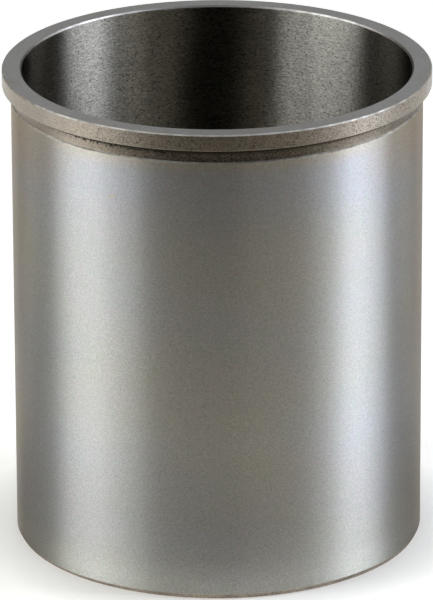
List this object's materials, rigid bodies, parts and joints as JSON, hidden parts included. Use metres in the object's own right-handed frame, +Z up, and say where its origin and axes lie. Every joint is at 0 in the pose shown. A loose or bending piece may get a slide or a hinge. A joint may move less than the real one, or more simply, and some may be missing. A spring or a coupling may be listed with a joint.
{
  "type": "cylinder liner",
  "caption": "Thin-walled iron cylinder liner with a ground outside, a through bore and a narrow top flange over a relief groove, pressed into an engine block to line its cylinder.",
  "frame": {"origin": "centre of the liner's lower end, on the bore axis", "axes": "+Z up along the bore axis, from the foot towards the flange; X and Y are free, because the liner is round"},
  "size_m": [0.11, 0.11, 0.1256],
  "materials": {
    "liner_iron": "bare machined iron: ground body, fine-turned flange and relief, faced top, bored inside"
  },
  "bodies": {
    "root": {"cylinder_liner": "liner_iron"}
  },
  "joints": []
}
